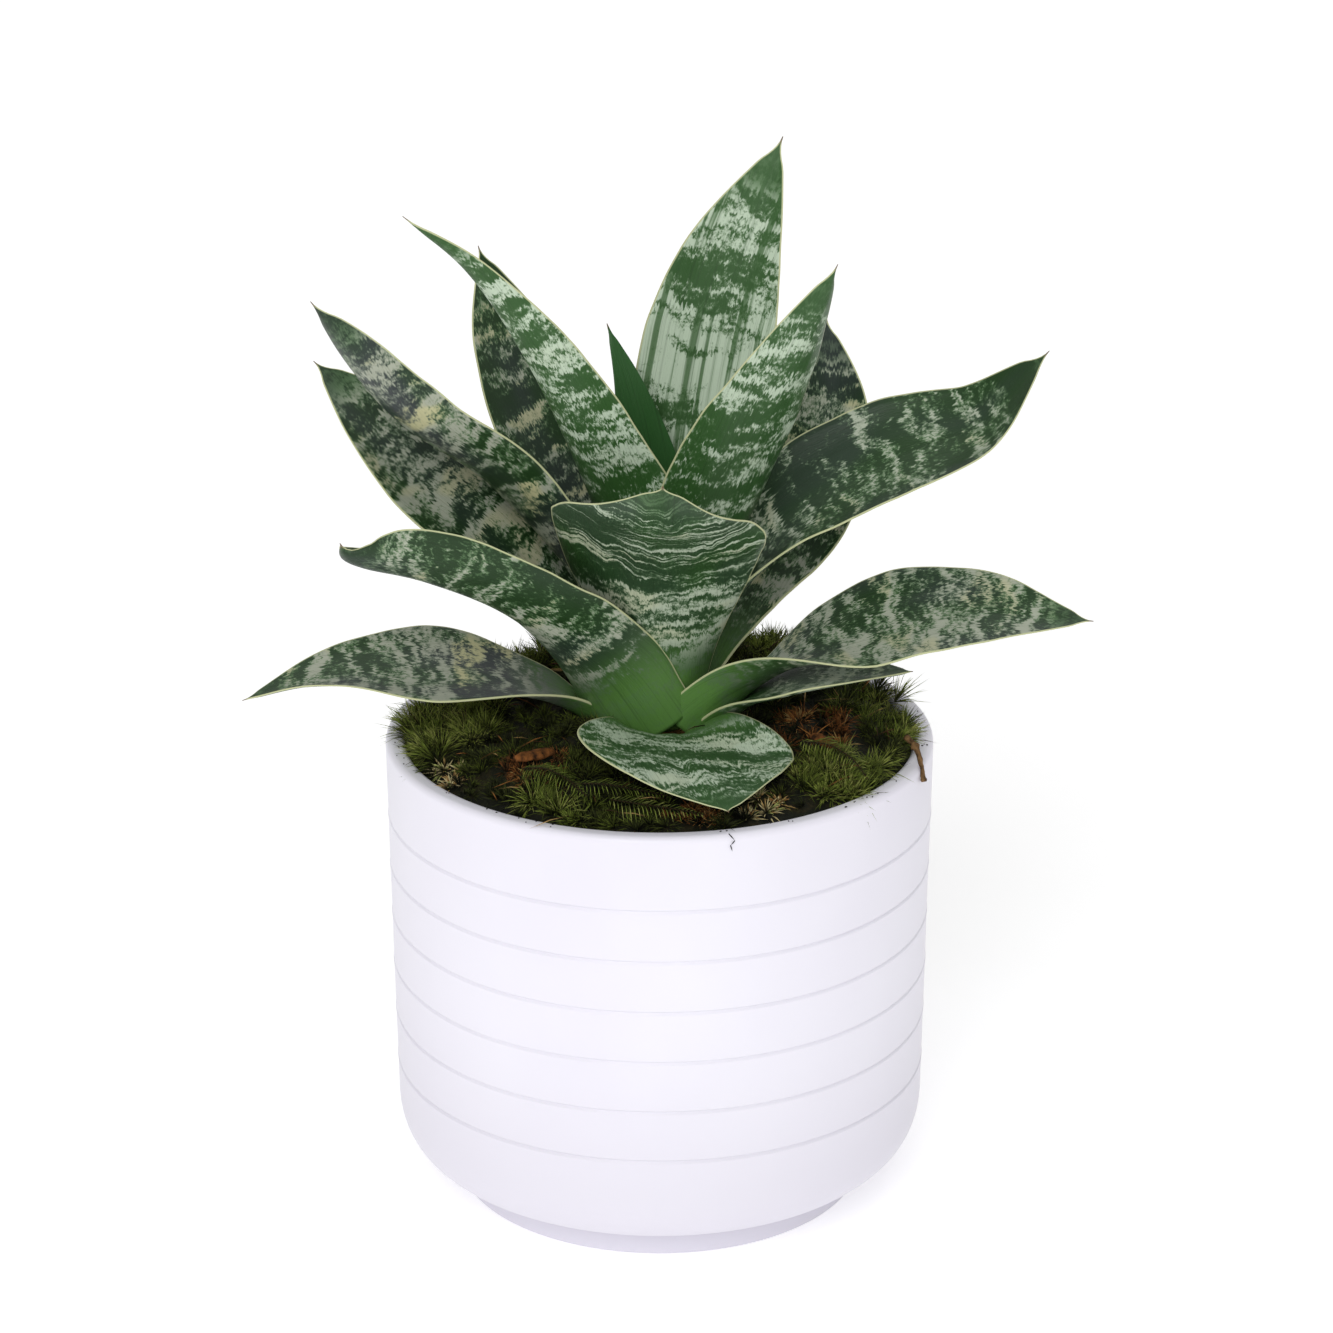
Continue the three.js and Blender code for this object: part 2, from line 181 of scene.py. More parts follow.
# Each leaf: its midrib from the crown to the tip, its greatest width and how far along that is, the
# bearing it grows along (degrees from +X towards +Y), its roll about the midrib and the half angle of
# its channel (both at base, middle and tip), its base width as a share, and how blunt its tip is.
LEAVES = {
    "front_drooping_leaf": {
        "midrib": [[2, -17, 134], [4, -26, 139.5], [7, -42, 141.5], [12, -57, 140.5], [18, -71, 137]],
        "width": 59, "widest": 0.45, "bearing": -75,
        "roll": [0, 10, 8], "channel": [48, 8, 8], "base": 0.45, "blunt": 2.1,
    },
    "left_drooping_leaf": {
        "midrib": [
            [-16, -3, 134], [-28, -6, 143], [-47, -10, 150.5], [-72, -14, 154], [-93, -17, 153.5],
            [-112, -20, 148],
        ],
        "width": 39, "widest": 0.5, "bearing": 190,
        "roll": [-10, 12, 0], "channel": [45, 18, 20], "base": 0.55, "blunt": 1.4,
    },
    "lower_right_leaf": {
        "midrib": [[14, -8, 134], [24, -12, 144], [38, -15, 151], [53, -17, 154], [68, -19, 156]],
        "width": 32, "widest": 0.5, "bearing": -14,
        "roll": [15, 0, 0], "channel": [45, 20, 20], "base": 0.55, "blunt": 1.7,
    },
    "right_arching_leaf": {
        "midrib": [[9, -13, 135], [24, -13, 149], [48, -12, 161], [80, -13, 170], [116, -18, 170]],
        "width": 41.5, "widest": 0.55, "bearing": -6,
        "roll": [47, -16, -22], "channel": [55, 20, 20], "base": 0.6,
        "blunt": 1.7,
    },
    "front_left_leaf": {
        "midrib": [
            [-5, -16, 135], [-18, -20, 156], [-38, -26, 175], [-59, -32, 186.5], [-76, -37, 192.5],
            [-81.5, -39.5, 196], [-83, -40.5, 200],
        ],
        "width": 43, "widest": 0.42, "bearing": 202,
        "roll": [-50, -22, -28], "channel": [60, 52, 62], "base": 0.86,
        "blunt": 5.5,
    },
    "front_leaf": {
        "midrib": [
            [0, -11, 136], [0, -18, 160], [-1, -31, 186], [-1, -50, 203], [0, -67, 214], [1, -80, 229],
        ],
        "width": 59, "widest": 0.61, "bearing": -90,
        "roll": [0, 7, 5], "channel": [60, 32, 30], "base": 0.45, "blunt": 1.65,
    },
    "back_leaf": {
        "midrib": [[1, 13, 134], [2, 26, 158], [4, 43, 180], [6, 60, 192], [8, 77, 196]],
        "width": 42, "widest": 0.5, "bearing": 86,
        "roll": [0, 0, 0], "channel": [50, 20, 20], "base": 0.5, "blunt": 1.9,
    },
    "lower_back_left_leaf": {
        "midrib": [[-9, 10, 134], [-18, 24, 152], [-28, 42, 166], [-37, 58, 172], [-45, 74, 171]],
        "width": 38, "widest": 0.5, "bearing": 120,
        "roll": [0, 0, 0], "channel": [50, 20, 20], "base": 0.5, "blunt": 1.9,
    },
    "broad_right_leaf": {
        "midrib": [[9, 1, 136], [18, 2, 168], [36, 3, 193], [62, 5, 207], [87, 6, 217], [104, 6, 238]],
        "width": 40, "widest": 0.58, "bearing": 2,
        "roll": [0, -25, -20], "channel": [65, 30, 30], "base": 0.42, "blunt": 2.6,
    },
    "lower_left_leaf": {
        "midrib": [[-10, 3, 136], [-23, 6, 162], [-44, 10, 187], [-69, 17, 206], [-94, 26, 229]],
        "width": 47, "widest": 0.5, "bearing": 165,
        "roll": [0, 22, 20], "channel": [65, 25, 25], "base": 0.45, "blunt": 2.2,
    },
    "upper_left_leaf": {
        "midrib": [[-9, 0, 137], [-20, 0, 172], [-43, 0, 202], [-69, 0, 222], [-92, -2, 254]],
        "width": 42, "widest": 0.5, "bearing": 180,
        "roll": [0, -25, -45], "channel": [70, 45, 40], "base": 0.45, "blunt": 2.6,
    },
    "back_right_leaf": {
        "midrib": [[6, 9, 137], [18, 20, 160], [33, 32, 184], [44, 39, 210], [46, 45, 236]],
        "width": 46, "widest": 0.55, "bearing": 62,
        "roll": [0, 0, -10], "channel": [60, 20, 25], "base": 0.45, "blunt": 1.9,
    },
    "back_left_leaf": {
        "midrib": [[-5, 6, 137], [-12, 13, 172], [-28.5, 21, 207], [-42, 27, 235], [-49, 31, 260]],
        "width": 42, "widest": 0.55, "bearing": 130,
        "roll": [0, 0, 0], "channel": [70, 25, 30], "base": 0.4, "blunt": 2,
    },
    "left_front_upright_leaf": {
        "midrib": [
            [-4, -5, 138], [-6.5, -10, 176], [-17, -17, 211], [-33, -26, 247], [-48, -33, 271],
            [-65, -38, 287],
        ],
        "width": 42, "widest": 0.4, "bearing": 210,
        "roll": [0, -10, -10], "channel": [75, 60, 50], "base": 0.65, "blunt": 1.4,
    },
    "right_front_upright_leaf": {
        "midrib": [[4, -5, 138], [10, -10, 176], [21, -16, 210], [34, -22, 242], [46, -26, 271]],
        "width": 43, "widest": 0.5, "bearing": -50,
        "roll": [0, 0, 0], "channel": [75, 35, 30], "base": 0.4, "blunt": 2,
    },
    "tall_upright_leaf": {
        "midrib": [[2, 4, 138], [6, 9, 176], [10, 15, 215], [18, 21, 253], [33, 28, 291]],
        "width": 37, "widest": 0.58, "bearing": 80,
        "roll": [0, 0, 0], "channel": [75, 20, 25], "base": 0.35, "blunt": 2,
    },
    "young_centre_leaf": {
        "midrib": [[0, 0, 138], [-1, 1, 172], [-3, 3, 203], [-8, 5, 227], [-14, 8, 245]],
        "width": 22, "widest": 0.4, "bearing": 110,
        "roll": [0, 0, 0], "channel": [60, 25, 20], "base": 0.5, "blunt": 1.7,
    },
}

# How each leaf is marked and shaded: how much of it is pale, how far its bands are fine wavy lines
# rather than blotches, and how grey its ground is: partly its own grey tone, partly painted shade and
# sheen.
MARKINGS_AND_SHADE = {
    "front_drooping_leaf": (0.03, 0.5, 0.15),
    "left_drooping_leaf": (0.02, 0, 0.9),
    "lower_right_leaf": (0, 0, 0.2),
    "right_arching_leaf": (0.015, 0, 0.5),
    "front_left_leaf": (0.0, 0.3, 0.5),
    "front_leaf": (0.02, 1, 0.3),
    "back_leaf": (0.02, 0.0, 0.5),
    "lower_back_left_leaf": (0.02, 0.0, 0.5),
    "broad_right_leaf": (-0.035, 0.1, 0.4),
    "lower_left_leaf": (0.02, 0, 0.5),
    "upper_left_leaf": (0.01, 0.1, 0.9),
    "back_right_leaf": (0.01, 0, 0.7),
    "back_left_leaf": (-0.015, 0.1, 0.6),
    "left_front_upright_leaf": (0.0, 0, 0.05),
    "right_front_upright_leaf": (-0.005, 0, 0.05),
    "tall_upright_leaf": (0.07, 0, 0),
    "young_centre_leaf": (-0.42, 0.0, 0.0),
}


# ---------------------------------------------------------------- small helpers
def blend(a, b, t):
    return a + (b - a) * t


def ease(t):
    return t * t * (3 - 2 * t)


def unit(vectors):
    return vectors / np.linalg.norm(vectors, axis=-1, keepdims=True)


def along(share, stations):
    """A value eased from base through middle to tip, at each share of the length."""
    base, middle, tip = stations
    lower = blend(base, middle, ease(share * 2))
    upper = blend(middle, tip, ease(share * 2 - 1))
    return np.where(share < 0.5, lower, upper)


def curve_through(points, count):
    """Points at even steps along the smooth curve through the points given, and its length."""
    points = np.array(points, dtype=float)
    knots = np.vstack([2 * points[0] - points[1], points, 2 * points[-1] - points[-2]])
    fine = []
    for a, b, c, d in zip(knots, knots[1:], knots[2:], knots[3:]):
        for t in np.arange(0, 1, 1 / 40):
            bend = (2 * a - 5 * b + 4 * c - d) * t * t + (3 * b - a - 3 * c + d) * t**3
            fine.append((2 * b + (c - a) * t + bend) * 0.5)
    fine = np.array([*fine, points[-1]])
    walked = np.append(0, np.cumsum(np.linalg.norm(np.diff(fine, axis=0), axis=1)))
    even = np.linspace(0, walked[-1], count)
    return np.stack([np.interp(even, walked, fine[:, axis]) for axis in range(3)], axis=1), walked[-1]


def rough(x, y, z, size):
    """Smooth noise from -1 to 1, in lumps of about the size given."""
    return noise.noise(Vector((x, y, z)) / size)


def around(radius, bearing):
    """The place at this radius and bearing from the middle of the pot."""
    return radius * math.cos(bearing), radius * math.sin(bearing)


def colour(code):
    """A colour in linear light from its six-figure screen code."""
    screen = [int(code[i : i + 2], 16) / 255 for i in (0, 2, 4)]
    return (*(c / 12.92 if c < 0.04045 else ((c + 0.055) / 1.055) ** 2.4 for c in screen), 1)


def grid_faces(rows, columns, wrap=False):
    """Quads between neighbouring rows of points; wrap joins the last column to the first."""
    faces = []
    for row in range(rows - 1):
        for column in range(columns if wrap else columns - 1):
            here = row * columns + column
            beside = row * columns + (column + 1) % columns
            faces.append((here, beside, beside + columns, here + columns))
    return faces


def slab_faces(rows, columns):
    """A closed slab: a grid of points on top, the same grid below and the edge between them."""
    lid = grid_faces(rows, columns)
    below = rows * columns
    faces = [face[::-1] for face in lid]
    faces += [tuple(corner + below for corner in face) for face in lid]
    edge = list(range(columns))
    edge += [row * columns + columns - 1 for row in range(1, rows)]
    edge += [(rows - 1) * columns + column for column in reversed(range(columns - 1))]
    edge += [row * columns for row in reversed(range(1, rows - 1))]
    for here, there in zip(edge, edge[1:] + edge[:1]):
        faces.append((here, there, there + below, here + below))
    return faces


def piece(name, points, faces, finish, replaced, uvs=None, attributes=None):
    """A piece of the plant from points in millimetres, standing for the CAD nodes it replaces."""
    mesh = bpy.data.meshes.new(name)
    mesh.from_pydata((np.asarray(points) * MM).tolist(), [], faces)
    mesh.polygons.foreach_set("use_smooth", [True] * len(mesh.polygons))
    if uvs is not None:
        layer = mesh.uv_layers.new(name="OFBake")
        layer.data.foreach_set("uv", np.asarray(uvs, dtype=np.float32).ravel())
    for attribute, values in (attributes or {}).items():
        made = mesh.attributes.new(attribute, "FLOAT_VECTOR", "POINT")
        made.data.foreach_set("vector", np.asarray(values, dtype=np.float32).ravel())
    mesh.materials.append(finish)
    made = bpy.data.objects.new(name, mesh)
    scene.collection.objects.link(made)
    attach(made, "root")
    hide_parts(replaced)
    return made


# ---------------------------------------------------------------- shader sums
class Wire:
    """A shader socket that takes part in Python sums."""

    def __init__(self, finish, socket):
        self.finish = finish
        self.socket = socket

    def sum(self, operation, *values):
        return self.finish.node("Math", {"operation": operation}, dict(enumerate(values)))

    def __add__(self, other):
        return self.sum("ADD", self, other)

    def __sub__(self, other):
        return self.sum("SUBTRACT", self, other)

    def __rsub__(self, other):
        return self.sum("SUBTRACT", other, self)

    def __mul__(self, other):
        return self.sum("MULTIPLY", self, other)

    __radd__ = __add__
    __rmul__ = __mul__

    def rise(self, start, end):
        """0 up to start and 1 from end on, smooth between."""
        limits = {"Value": self, "From Min": start, "From Max": end}
        return self.finish.node("MapRange", {"interpolation_type": "SMOOTHSTEP"}, limits)


class Finish:
    """A material or a world, built node by node."""

    def __init__(self, owner):
        self.owner = owner
        owner.use_nodes = True
        self.tree = owner.node_tree
        self.tree.nodes.clear()

    def node(self, kind, settings, inputs, output=0):
        made = self.tree.nodes.new("ShaderNode" + kind)
        stops = settings.pop("stops", [])
        for setting, value in settings.items():
            setattr(made, setting, value)
        for _ in stops[2:]:
            made.color_ramp.elements.new(0.5)
        for place, (position, tone) in enumerate(stops):
            made.color_ramp.elements[place].position = position
            made.color_ramp.elements[place].color = tone
        for key, value in inputs.items():
            if isinstance(key, int):
                socket = made.inputs[key]
            else:
                socket = next(s for s in made.inputs if key in (s.identifier, s.name))
            if isinstance(value, Wire):
                self.tree.links.new(value.socket, socket)
            else:
                socket.default_value = value
        return Wire(self, made.outputs[output]) if made.outputs else None

    def parts(self, vector):
        return [self.node("SeparateXYZ", {}, {"Vector": vector}, axis) for axis in range(3)]

    def attribute(self, name):
        """The three numbers that the mesh carries at each point under this name."""
        return self.parts(self.node("Attribute", {"attribute_name": name}, {}, "Vector"))

    def position(self, scale):
        """The point's place in the object, in metres times the scale."""
        place = self.node("TexCoord", {}, {}, "Object")
        return self.node("VectorMath", {"operation": "MULTIPLY"}, {0: place, 1: scale})

    def vector(self, x, y, z):
        return self.node("CombineXYZ", {}, {"X": x, "Y": y, "Z": z})

    def noise(self, vector, scale=1, detail=2, roughness=0.5):
        inputs = {"Vector": vector, "Scale": scale, "Detail": detail, "Roughness": roughness}
        return self.node("TexNoise", {}, inputs, "Fac")

    def ramp(self, factor, *stops):
        stops = [(position, colour(code)) for position, code in stops]
        return self.node("ValToRGB", {"stops": stops}, {"Fac": factor}, "Color")

    def mix(self, first, second, factor):
        inputs = {"Factor_Float": factor, "A_Color": first, "B_Color": second}
        return self.node("Mix", {"data_type": "RGBA"}, inputs, 2)

    def bump(self, height, strength, distance):
        return self.node("Bump", {}, {"Height": height, "Strength": strength, "Distance": distance})

    def surface(self, **sockets):
        """Ends the material in one surface shader and hands the material over."""
        sockets = {key.replace("_", " "): value for key, value in sockets.items()}
        shader = self.node("BsdfPrincipled", {}, sockets)
        self.node("OutputMaterial", {}, {"Surface": shader})
        return self.owner


def new_finish(name):
    return Finish(bpy.data.materials.new(name))


# ---------------------------------------------------------------- finishes
def ceramic_finish():
    """White satin glaze with a faint lavender cast, uneven under the hand, with painted shade that greys it
    down towards the foot and most on the foot itself.
    """
    finish = new_finish("white glaze")
    cloud = finish.noise(finish.position((14, 14, 9)), detail=3)
    pitted = finish.noise(finish.position((900, 900, 900)), detail=2)
    ripple = finish.noise(finish.position((60, 60, 160)), detail=2)
    height = finish.parts(finish.position((1 / MM, 1 / MM, 1 / MM)))[2]
    glaze_and_shade = finish.ramp(cloud, (0.3, "ebe8f3"), (0.7, "f2f0f9"))
    # Painted shade: greyer from well up the wall down to the foot.
    glaze_and_shade = finish.mix(glaze_and_shade, colour("e3e0ea"), 1 - height.rise(FOOT_HEIGHT, SHOULDER_HEIGHT * 3))
    # More painted shade on the foot band, where it meets the floor.
    glaze_and_shade = finish.mix(glaze_and_shade, colour("dad7e2"), 1 - height.rise(FOOT_HEIGHT - 1, FOOT_HEIGHT + 1))
    return finish.surface(
        Base_Color=glaze_and_shade,
        Roughness=0.42 + (cloud - 0.5) * 0.25,
        Normal=finish.bump(ripple * 0.7 + pitted * 0.3, 0.12, 0.0006),
    )


def leaf_finish(name, sunny, shady):
    """Dark green blade crossed by ragged pale bands, with a cream margin and a dry brown tip, greyed and
    darkened leaf by leaf with painted shade and sheen.
    """
    finish = new_finish(name)
    across, length, seed = finish.attribute("blade")
    share, margin = finish.attribute("zone")[:2]
    paleness, fineness, grey_shade_and_sheen = finish.attribute("marks_and_shade")
    streaks = paleness.rise(0.05, 0.07)

    def pattern(across_scale, places, length_scale, shift, **settings):
        at = finish.vector(across * across_scale, places * length_scale, seed + shift)
        return finish.noise(at, **settings)

    teeth = pattern(1.5, length, 0.12, 0, detail=3, roughness=0.6)
    drift = pattern(0.09, length, 0.03, 5, detail=2)
    ragged = length + (teeth - 0.5) * 7 + (drift - 0.5) * 11
    bands = pattern(0.035, ragged, 0.15, 9, detail=1)
    blotches = pattern(0.09, ragged, 0.42, 13, detail=2)
    flecks = pattern(0.28, length + (teeth - 0.5) * 3, 0.85, 25, detail=2, roughness=0.6)
    specks = pattern(1.0, length, 0.5, 17, detail=4, roughness=0.75)
    lines = pattern(0.045, length + (drift - 0.5) * 24 + (teeth - 0.5) * 2, 0.8, 21, detail=2)
    blotched = bands * 0.35 + blotches * 0.4 + flecks * 0.25 + (specks - 0.5) * 0.35
    lined = lines * 0.65 + bands * 0.35 + (specks - 0.5) * 0.25 - 0.06
    waviness = fineness * share.rise(0.3, 0.6)
    level = blotched * (1 - waviness) + lined * waviness + paleness
    opening = share.rise(0.1, 0.32)
    plain_tip = share.rise(0.84, 0.95) * 0.7
    pleats = pattern(0.6, length, 0.012, 45, detail=2)
    pale = level.rise(0.44, 0.6) * (opening * 0.75 + 0.25) * (1 - plain_tip)
    pale = pale * (1 - pleats.rise(0.48, 0.64) * streaks * 0.55)

    # Painted sheen: grey patches, stronger on greyer leaves, over what is partly the blade's own grey tone.
    cloud = pattern(0.05, length, 0.022, 41, detail=1).rise(0.42, 0.62) * grey_shade_and_sheen
    # Painted shade: greyer leaves take the shady green.
    green = finish.mix(colour(sunny), colour(shady), grey_shade_and_sheen.rise(0, 0.5))
    ground = finish.mix(green, colour("30363a"), cloud)
    ground = finish.mix(colour("5a8440"), ground, opening)
    half = finish.mix(colour("58794f"), colour("626b61"), cloud)
    cream = pattern(0.05, length, 0.09, 51, detail=1).rise(0.54, 0.64) * grey_shade_and_sheen
    # Pale bands greyer on the same leaves, partly painted shade.
    light = finish.mix(colour("c4d5bd"), colour("a9ae9c"), grey_shade_and_sheen.rise(0, 0.6))
    light = finish.mix(light, colour("c4c193"), cream)
    body = finish.mix(ground, half, pale.rise(0, 0.6))
    body = finish.mix(body, light, pale.rise(0.35, 1.0))
    fibre = pattern(2.8, length, 0.03, 31, detail=2)
    body = finish.mix(body, colour("182a12"), fibre.rise(0.5, 0.75) * 0.3)
    body = finish.mix(body, colour("c3c79a"), (1 - margin.rise(0.12, 0.4)) * paleness.rise(-0.4, 0))
    body = finish.mix(body, colour("6d5a42"), share.rise(0.982, 0.996))
    grain = pattern(3.4, length, 0.6, 37, detail=3)
    return finish.surface(
        Base_Color=body,
        Roughness=0.42 + pale * 0.08 + (grain - 0.5) * 0.2,
        Normal=finish.bump(grain + fibre * 0.8, 0.25, 0.0004),
        Specular_IOR_Level=0.33,
    )


MOSS_TINTS = ["0f1205", "1d200a", "2a2f10", "383f14", "4a521a", "5d6a22", "728330", "8c9a42"]
MOSS_TINTS += ["a6ac5c", "3c2811", "5a3a18", "7c4a20", "a06c36", "bd9c62", "d6c894", "b4bb70"]


def moss_finish():
    """Needles in the tint each one carries, darker towards the root, over a dark mat."""
    finish = new_finish("moss")
    needle, tint, height = finish.attribute("sprig")
    stops = [(place / (len(MOSS_TINTS) - 1), code) for place, code in enumerate(MOSS_TINTS)]
    sprig = finish.ramp(tint, *stops)
    sprig = finish.mix(sprig, colour("0a0c03"), (1 - height.rise(0.0, 0.8)) * 0.8)
    clump = finish.noise(finish.position((160, 160, 160)), detail=5, roughness=0.7)
    mat = finish.ramp(clump, (0.35, "080903"), (0.5, "15180a"), (0.62, "2a2412"), (0.72, "30381a"))
    return finish.surface(
        Base_Color=finish.mix(mat, sprig, needle),
        Roughness=0.75,
        Normal=finish.bump(finish.noise(finish.position((900, 900, 900)), detail=4), 0.6, 0.001),
        Specular_IOR_Level=0.25,
    )


def wood_finish(name, dark, light):
    """Dry wood or bark with its grain along the piece."""
    finish = new_finish(name)
    grain = finish.noise(finish.position((500, 500, 240)), detail=5, roughness=0.65)
    return finish.surface(
        Base_Color=finish.ramp(grain, (0.35, dark), (0.68, light)),
        Roughness=0.85,
        Normal=finish.bump(grain, 0.8, 0.0006),
        Specular_IOR_Level=0.2,
    )


def soil_finish():
    """Dark crumbly peat with pale flecks of grit."""
    finish = new_finish("potting soil")
    crumbs = finish.noise(finish.position((320, 320, 320)), detail=6, roughness=0.7)
    grit = finish.noise(finish.position((1100, 1100, 1100)), detail=1)
    peat = finish.ramp(crumbs, (0.35, "0f0b08"), (0.6, "33261b"), (0.75, "4d3a29"))
    return finish.surface(
        Base_Color=finish.mix(peat, colour("b9ad99"), grit.rise(0.68, 0.74)),
        Roughness=0.95,
        Normal=finish.bump(crumbs, 1, 0.002),
        Specular_IOR_Level=0.2,
    )


# ---------------------------------------------------------------- pot
# A groove's section: places across it, in widths, and depths, in groove depths. Its lower lip
# stands proud.
GROOVE_SECTION = ((-2.2, 0), (-1.3, -0.3), (-0.7, -0.2), (0, 1), (0.5, 0.95), (0.8, 0), (1.6, 0))


def wall_radius(height):
    return RIM_RADIUS - POT_TAPER * (1 - height / POT_HEIGHT)


def pot_profile():
    """Radius and height from the middle of the foot, up the outside, over the rim and down inside."""
    profile = [(0, UNDERSIDE_RISE), (FOOT_RADIUS - UNDERSIDE_INSET, UNDERSIDE_RISE)]
    profile.append((FOOT_RADIUS - STANDING_INSET, 0))

    def round_to(centre, radii, start, end, steps):
        for angle in np.radians(np.linspace(start, end, steps)):
            radius = centre[0] + radii[0] * math.cos(angle)
            profile.append((radius, centre[1] + radii[1] * math.sin(angle)))

    round_to((FOOT_RADIUS - FOOT_ROUND, FOOT_ROUND), (FOOT_ROUND, FOOT_ROUND), -90, 0, 5)
    profile.append((FOOT_RADIUS, FOOT_HEIGHT - 1))
    shoulder = wall_radius(SHOULDER_HEIGHT) - FOOT_RADIUS
    shoulder_rise = SHOULDER_HEIGHT - FOOT_HEIGHT
    for angle in np.radians(np.linspace(SHOULDER_START, 0, SHOULDER_STEPS)):
        inward = math.cos(angle) ** (2 / SHOULDER_FULLNESS)
        down = math.sin(angle) ** (2 / SHOULDER_FULLNESS)
        profile.append((FOOT_RADIUS + shoulder * inward, SHOULDER_HEIGHT - shoulder_rise * down))
    for groove in reversed(range(GROOVE_COUNT)):
        middle = TOP_GROOVE_HEIGHT - groove * GROOVE_PITCH
        for offset, depth in GROOVE_SECTION:
            height = middle + offset * GROOVE_WIDTH
            profile.append((wall_radius(height) - depth * GROOVE_DEPTH, height))
    round_to((RIM_RADIUS - RIM_ROUND, POT_HEIGHT - RIM_ROUND), (RIM_ROUND, RIM_ROUND), 0, 90, 8)
    inner = RIM_RADIUS - WALL
    round_to((inner + RIM_ROUND, POT_HEIGHT - RIM_ROUND), (RIM_ROUND, RIM_ROUND), 90, 180, 8)
    inner_wall = wall_radius(SHOULDER_HEIGHT) - WALL
    profile.append((inner_wall, SHOULDER_HEIGHT))
    floor_edge = FOOT_RADIUS - FLOOR_INSET
    floor_radii = (inner_wall - floor_edge, SHOULDER_HEIGHT - FLOOR_THICKNESS)
    round_to((floor_edge, SHOULDER_HEIGHT), floor_radii, 0, -90, 10)
    profile.append((0, FLOOR_THICKNESS))
    return profile


def make_pot():
    profile = pot_profile()
    walked = np.append(0, np.cumsum([math.dist(a, b) for a, b in zip(profile, profile[1:])]))
    walked /= walked[-1]
    bearings = np.linspace(0, 2 * math.pi, POT_SIDES, endpoint=False)
    rows = profile[1:-1]
    points = [(0, 0, profile[0][1])]
    for radius, height in rows:
        for bearing in bearings:
            x, y = around(radius, bearing)
            wobble = POT_WOBBLE * rough(x, y, height, WOBBLE_SIZE) if radius > FOOT_RADIUS else 0
            points.append((x * (1 + wobble / radius), y * (1 + wobble / radius), height))
    points.append((0, 0, profile[-1][1]))
    faces = []
    uvs = []
    for side in range(POT_SIDES):
        beside = (side + 1) % POT_SIDES
        left, right = side / POT_SIDES, (side + 1) / POT_SIDES
        faces.append((0, 1 + beside, 1 + side))
        uvs += [(left, walked[0]), (right, walked[1]), (left, walked[1])]
        for row in range(len(rows) - 1):
            here = 1 + row * POT_SIDES
            faces.append((here + side, here + beside, here + POT_SIDES + beside, here + POT_SIDES + side))
            low, high = walked[row + 1], walked[row + 2]
            uvs += [(left, low), (right, low), (right, high), (left, high)]
        top = 1 + (len(rows) - 1) * POT_SIDES
        faces.append((top + side, top + beside, len(points) - 1))
        uvs += [(left, walked[-2]), (right, walked[-2]), (left, walked[-1])]
    piece("glazed_pot", points, faces, ceramic_finish(), "pot", uvs)


# ---------------------------------------------------------------- leaves
def half_width(leaf, share):
    """Half the leaf's width: it widens from a narrow base, then draws to a point."""
    half = leaf["width"] / 2
    widening = half * blend(leaf["base"], 1, ease(np.clip(share / leaf["widest"], 0, 1)))
    rest = np.clip((share - leaf["widest"]) / (1 - leaf["widest"]), 0, 1)
    drawing = np.maximum(half * (1 - rest ** leaf["blunt"]) ** TIP_DRAW, TIP_THICKNESS / 2)
    return np.where(share < leaf["widest"], widening, drawing)


